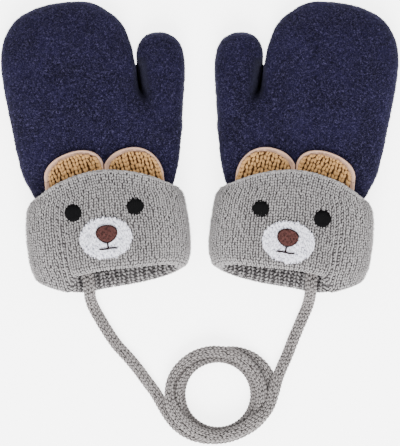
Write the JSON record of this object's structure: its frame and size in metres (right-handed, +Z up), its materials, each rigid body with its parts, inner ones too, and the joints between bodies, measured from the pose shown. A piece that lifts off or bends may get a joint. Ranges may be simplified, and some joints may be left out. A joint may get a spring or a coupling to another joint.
{
  "type": "pair of toddler mittens on a cord",
  "caption": "Brushed wool mittens with turned-up knitted cuffs bearing a bear's face and ears, lying flat, joined by a coiled knitted neck cord.",
  "frame": {"origin": "on the surface the mittens lie on, in the middle of the two mittens' bounding box; the neck cord is left out of it", "axes": "+Y towards the fingertips, +X across the pair from the picture's left mitten to its right one, +Z up from the surface"},
  "size_m": [0.1914, 0.2162, 0.0266],
  "materials": {
    "navy_wool": "brushed knitted wool, navy with paler flecks",
    "grey_knit": "stocking stitch outside and two by two rib inside, light grey wool mix",
    "tan_knit": "coarse stocking stitch, tan wool",
    "beige_backing": "plain pinkish-beige knitted backing",
    "black_thread": "black satin-stitch embroidery",
    "white_thread": "white satin-stitch embroidery",
    "brown_thread": "brown satin-stitch embroidery",
    "grey_cord": "tubular knitted grey cord"
  },
  "bodies": {
    "root": {"left_hand": "navy_wool", "left_thumb": "navy_wool", "left_cuff": "grey_knit", "left_outer_ear_back": "beige_backing", "left_outer_ear_front": "tan_knit", "left_inner_ear_back": "beige_backing", "left_inner_ear_front": "tan_knit", "left_outer_eye": "black_thread", "left_inner_eye": "black_thread", "left_muzzle": "white_thread", "left_nose": "brown_thread", "right_hand": "navy_wool", "right_thumb": "navy_wool", "right_cuff": "grey_knit", "right_outer_ear_back": "beige_backing", "right_outer_ear_front": "tan_knit", "right_inner_ear_back": "beige_backing", "right_inner_ear_front": "tan_knit", "right_outer_eye": "black_thread", "right_inner_eye": "black_thread", "right_muzzle": "white_thread", "right_nose": "brown_thread", "cord_left_run": "grey_cord", "cord_coil": "grey_cord", "cord_right_run": "grey_cord"}
  },
  "joints": []
}
